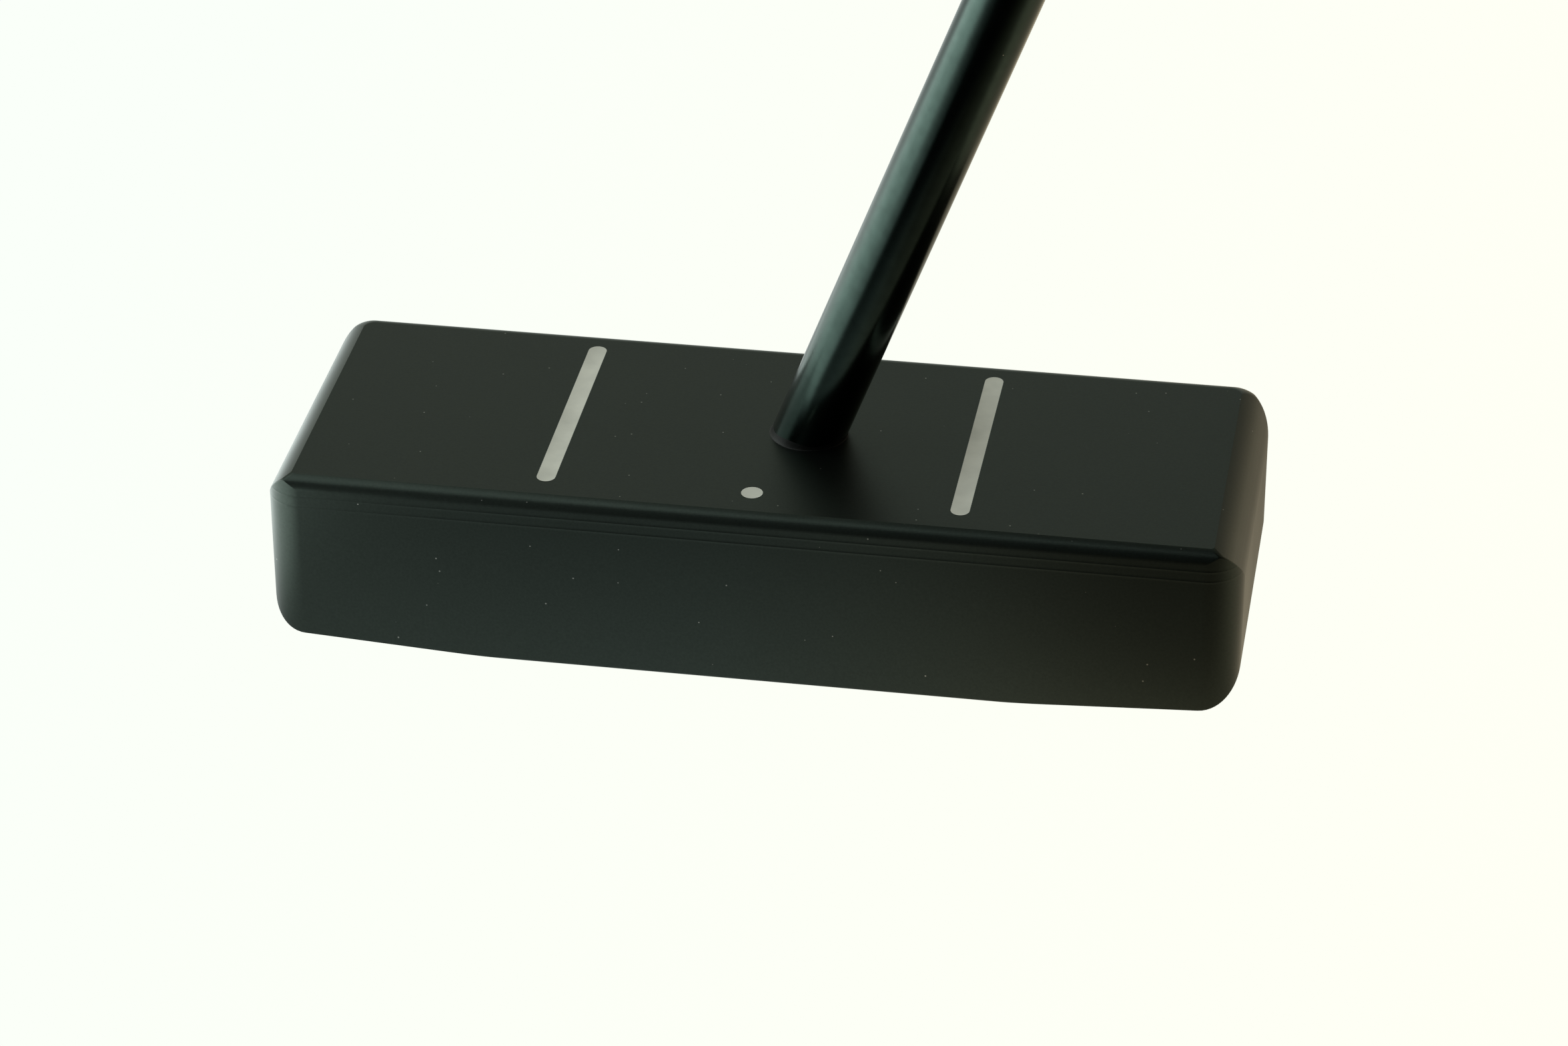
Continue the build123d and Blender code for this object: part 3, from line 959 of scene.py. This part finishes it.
def make_world(stage):
    """A white tent: seen as clean white, and lighting the putter from behind, most of all low."""
    world = bpy.data.worlds.new("white tent")
    bpy.context.scene.world = world
    world.use_nodes = True
    tree = world.node_tree
    tree.nodes.clear()
    output = add_node(tree, "ShaderNodeOutputWorld")
    seen = add_node(tree, "ShaderNodeBackground", {"Color": rgba(stage.cool), "Strength": 1.0})
    place = add_node(tree, "ShaderNodeTexCoord").outputs["Generated"]
    way = add_node(tree, "ShaderNodeSeparateXYZ", {"Vector": place})
    behind = add_node(tree, "ShaderNodeMapRange", span(way.outputs["Y"], -0.15, 0.4, 0.03, 1.0),
                      interpolation_type="SMOOTHSTEP")
    low_down = add_node(tree, "ShaderNodeMapRange", span(way.outputs["Z"], 0.4, 0.05, 0.41, 0.95),
                        interpolation_type="SMOOTHSTEP")
    toeward = add_node(tree, "ShaderNodeMapRange", span(way.outputs["X"], 0.3, -0.2, 0.68, 1.07),
                       interpolation_type="SMOOTHSTEP")
    sky = add_node(tree, "ShaderNodeMath",
                   {0: behind.outputs["Result"], 1: low_down.outputs["Result"]},
                   operation="MULTIPLY")
    power = add_node(tree, "ShaderNodeMath", {0: sky.outputs[0], 1: toeward.outputs["Result"]},
                     operation="MULTIPLY")
    warmth = add_node(tree, "ShaderNodeMapRange", span(way.outputs["X"], 0.1, 0.5))
    tint = add_node(tree, "ShaderNodeMix",
                    {"Factor": warmth.outputs["Result"], MIX_A: rgba(stage.rear_light),
                     MIX_B: rgba(stage.warm_light)}, data_type="RGBA")
    given = add_node(tree, "ShaderNodeBackground",
                     {"Color": tint.outputs[MIX_RESULT], "Strength": power.outputs[0]})
    seen_and_given(tree, output, seen, given)


def make_softbox(name, place, target, width, height, radiance, tint):
    """A rectangular softbox that faces a point and isn't seen by the camera."""
    light = bpy.data.lights.new(name, "AREA")
    light.shape = "RECTANGLE"
    light.size, light.size_y = width, height
    light.energy = radiance * pi * width * height
    light.color = tint
    box = bpy.data.objects.new(name, light)
    box.location = place
    box.rotation_mode = "QUATERNION"
    box.rotation_quaternion = (Vector(target) - Vector(place)).to_track_quat("-Z", "Y")
    box.visible_camera = False
    bpy.context.scene.collection.objects.link(box)


def make_camera(stage):
    """A long lens that looks down on the face from its heel side."""
    a, e, roll = stage.azimuth, stage.elevation, stage.roll
    back = Vector((sin(a) * cos(e), -cos(a) * cos(e), sin(e)))
    level = Vector((cos(a), sin(a), 0))
    upright = back.cross(level)
    right = level * cos(roll) + upright * sin(roll)
    up = upright * cos(roll) - level * sin(roll)
    data = bpy.data.cameras.new("camera")
    data.lens = stage.lens
    data.sensor_width = 36
    data.clip_start, data.clip_end = 0.01, 100
    camera = bpy.data.objects.new("camera", data)
    camera.matrix_world = (Matrix.Translation(Vector((0, 0, TOP)) + Vector(stage.aim)
                                              + back * stage.distance)
                           @ Matrix((right, up, back)).transposed().to_4x4())
    bpy.context.scene.collection.objects.link(camera)
    bpy.context.scene.camera = camera


class PUTTER_OT_stage(bpy.types.Operator):
    """Set the camera, the white table with its painted glow, the tent and the softboxes"""
    bl_idname = "putter.stage"
    bl_label = "Stage"

    def execute(self, context):
        stage = context.scene.putter_stage
        make_camera(stage)
        make_floor(stage)
        make_world(stage)
        middle = (0, 0, TOP)
        make_softbox("toe_softbox", (-0.6, -0.06, 0.2), middle, 0.5, 0.36, 2.8, stage.cool_light)
        make_softbox("top_softbox", (-0.22, -0.1, 0.42), middle, 0.6, 0.24, 1.6, stage.cool_light)
        make_softbox("front_softbox", (-0.29, -0.7, 0.22), middle, 0.3, 0.45, 0.35,
                     stage.cool_light)
        context.scene.view_settings.view_transform = "Standard"
        return {"FINISHED"}


# ---- Add-on ---------------------------------------------------------------------------------
class PUTTER_PT_panel(bpy.types.Panel):
    """Buttons for the putter's pieces and its stage"""
    bl_idname = "PUTTER_PT_panel"
    bl_label = "Putter"
    bl_space_type = "VIEW_3D"
    bl_region_type = "UI"
    bl_category = "Putter"

    def draw(self, context):
        for operator in OPERATORS:
            self.layout.operator(operator.bl_idname)
        for group in SETTINGS:
            box = self.layout.box()
            settings = getattr(context.scene, group)
            for name in settings.bl_rna.properties.keys():
                if name not in ("rna_type", "name"):
                    box.prop(settings, name)


SETTINGS = {
    "putter_head": PutterHeadSizes,
    "putter_shaft": PutterShaftSizes,
    "putter_grip": PutterGripSizes,
    "putter_colours": PutterColours,
    "putter_stage": PutterStageSettings,
}
OPERATORS = (PUTTER_OT_stage, PUTTER_OT_head, PUTTER_OT_marks, PUTTER_OT_shaft, PUTTER_OT_bond,
             PUTTER_OT_hidden, PUTTER_OT_grip)


def register():
    """Adds the classes, and the settings to the scene."""
    for made in (*SETTINGS.values(), *OPERATORS, PUTTER_PT_panel):
        bpy.utils.register_class(made)
    for name, group in SETTINGS.items():
        setattr(bpy.types.Scene, name, PointerProperty(type=group))


def unregister():
    """Takes the settings and the classes away again."""
    for name in SETTINGS:
        delattr(bpy.types.Scene, name)
    for made in reversed((*SETTINGS.values(), *OPERATORS, PUTTER_PT_panel)):
        bpy.utils.unregister_class(made)


def main():
    """Makes every piece in order."""
    register()
    bpy.ops.putter.stage()
    bpy.ops.putter.head()
    bpy.ops.putter.marks()
    bpy.ops.putter.shaft()
    bpy.ops.putter.bond()
    bpy.ops.putter.hidden()
    bpy.ops.putter.grip()


if __name__ == "__main__":
    main()
